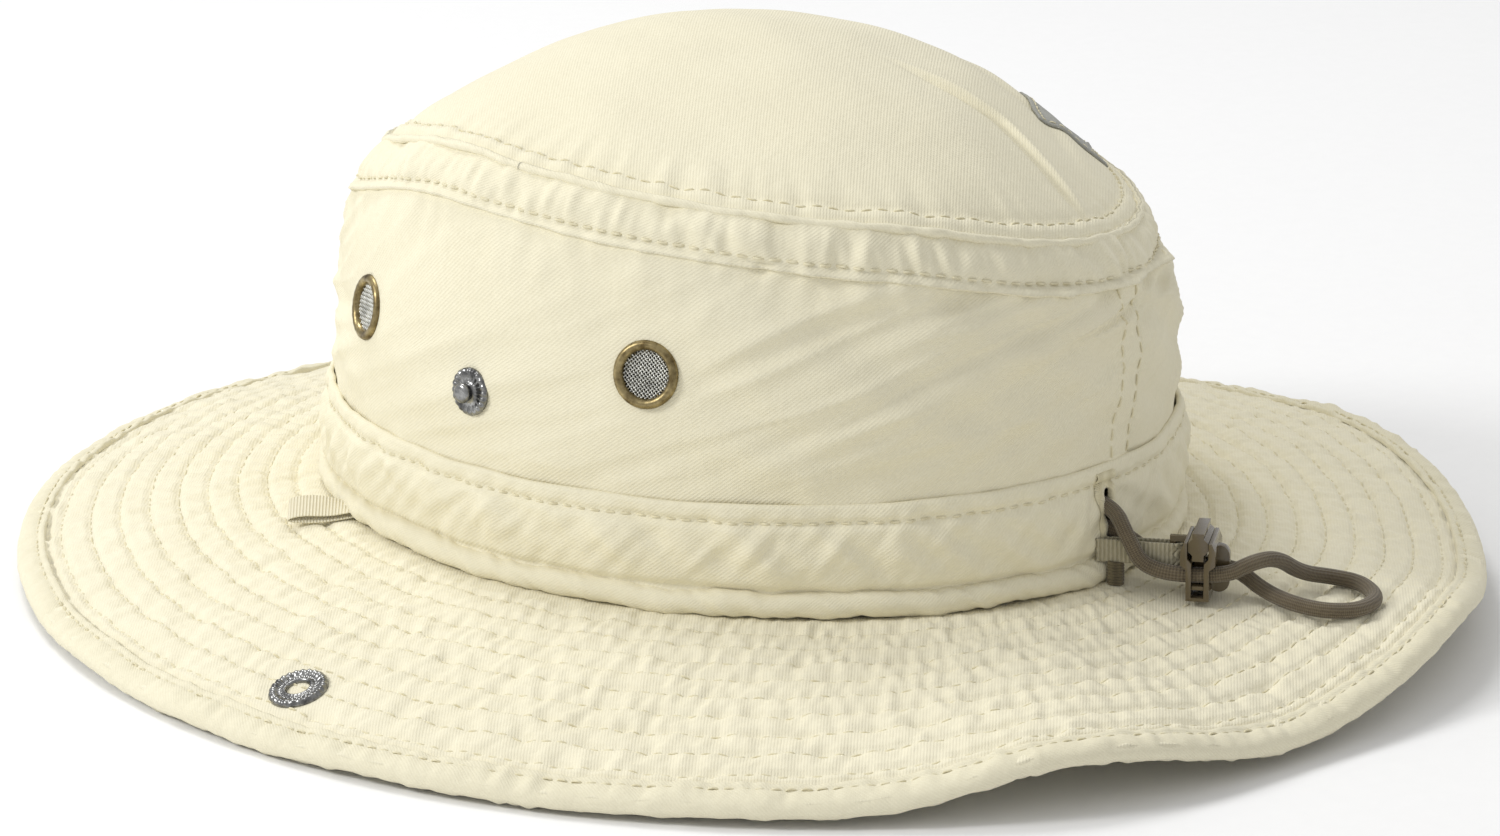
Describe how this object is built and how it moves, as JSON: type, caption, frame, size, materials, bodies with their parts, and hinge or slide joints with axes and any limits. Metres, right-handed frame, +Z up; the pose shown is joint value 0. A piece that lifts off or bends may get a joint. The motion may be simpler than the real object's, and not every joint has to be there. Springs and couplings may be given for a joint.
{
  "type": "boonie hat",
  "caption": "Soft sun hat with a domed crown, mesh eyelets, a corded drawstring with a sprung lock, and a wide quilted brim that folds up and snaps at each side.",
  "frame": {"origin": "centre of the head opening, at the height of the base seam", "axes": "+Y points to the back of the hat, +X to the wearer's left, +Z up out of the crown"},
  "size_m": [0.2993, 0.3362, 0.1249],
  "materials": {
    "crown_cloth": "finely woven cotton, garment washed",
    "brim_top": "finely woven cotton, quilted in rows",
    "brim_under": "finely woven cotton, quilted in rows",
    "binding": "folded cotton binding",
    "interlining": "non-woven stiffener",
    "sweatband": "soft wicking knit",
    "ribbon": "narrow grosgrain ribbon",
    "label": "blank woven label",
    "elastic_cord": "braided cover over an elastic core",
    "tether_braid": "flat braided tape",
    "eyelet_brass": "antiqued brass",
    "eyelet_mesh": "woven wire mesh",
    "snap_metal": "tumbled nickel plate",
    "lock_plastic": "moulded nylon",
    "spring_steel": "spring wire"
  },
  "bodies": {
    "root": {"base_piping": "binding", "brim_binding": "binding", "brim_interlining": "interlining", "brim_top_cloth": "brim_top", "brim_under_cloth": "brim_under", "cord_loop": "elastic_cord", "crown_side": "crown_cloth", "crown_tip": "crown_cloth", "crown_upper_band": "crown_cloth", "drawcord": "elastic_cord", "drawcord_band": "crown_cloth", "label_patch": "label", "left_front_eyelet_mesh": "eyelet_mesh", "left_front_eyelet_ring": "eyelet_brass", "left_front_eyelet_washer": "eyelet_brass", "left_rear_eyelet_mesh": "eyelet_mesh", "left_rear_eyelet_ring": "eyelet_brass", "left_rear_eyelet_washer": "eyelet_brass", "left_snap_post": "snap_metal", "left_snap_stud": "snap_metal", "right_front_eyelet_mesh": "eyelet_mesh", "right_front_eyelet_ring": "eyelet_brass", "right_front_eyelet_washer": "eyelet_brass", "right_rear_eyelet_mesh": "eyelet_mesh", "right_rear_eyelet_ring": "eyelet_brass", "right_rear_eyelet_washer": "eyelet_brass", "right_snap_post": "snap_metal", "right_snap_stud": "snap_metal", "side_ribbon_tab": "ribbon", "sweatband": "sweatband", "tether_strap": "tether_braid", "tether_whipping": "tether_braid"},
    "left_flap": {"left_flap_binding": "binding", "left_flap_interlining": "interlining", "left_flap_top_cloth": "brim_top", "left_flap_under_cloth": "brim_under", "left_snap_cap": "snap_metal", "left_snap_socket": "snap_metal"},
    "right_flap": {"right_flap_binding": "binding", "right_flap_interlining": "interlining", "right_flap_top_cloth": "brim_top", "right_flap_under_cloth": "brim_under", "right_snap_cap": "snap_metal", "right_snap_socket": "snap_metal"},
    "cord_lock": {"lock_body": "lock_plastic", "tether_fold": "tether_braid"},
    "lock_button": {"lock_plunger": "lock_plastic", "lock_spring": "spring_steel"}
  },
  "joints": [
    {"name": "left_brim_fold", "type": "hinge", "parent": "root", "child": "left_flap", "pos_m": [0.09378, 0, -0.00103], "axis": [0, -1, 0], "range_deg": [0, 111.1], "stiffness_Nm_per_rad": 0.01},
    {"name": "right_brim_fold", "type": "hinge", "parent": "root", "child": "right_flap", "pos_m": [-0.09336, 0, -0.00103], "axis": [0, 1, 0], "range_deg": [0, 107.1], "stiffness_Nm_per_rad": 0.01},
    {"name": "lock_slide", "type": "slide", "parent": "root", "child": "cord_lock", "axis": [0.5, -0.866, 0], "range_m": [0, 0.0015]},
    {"name": "button_press", "type": "slide", "parent": "cord_lock", "child": "lock_button", "axis": [0, 0, -1], "range_m": [0, 0.0015], "stiffness_N_per_m": 400}
  ]
}
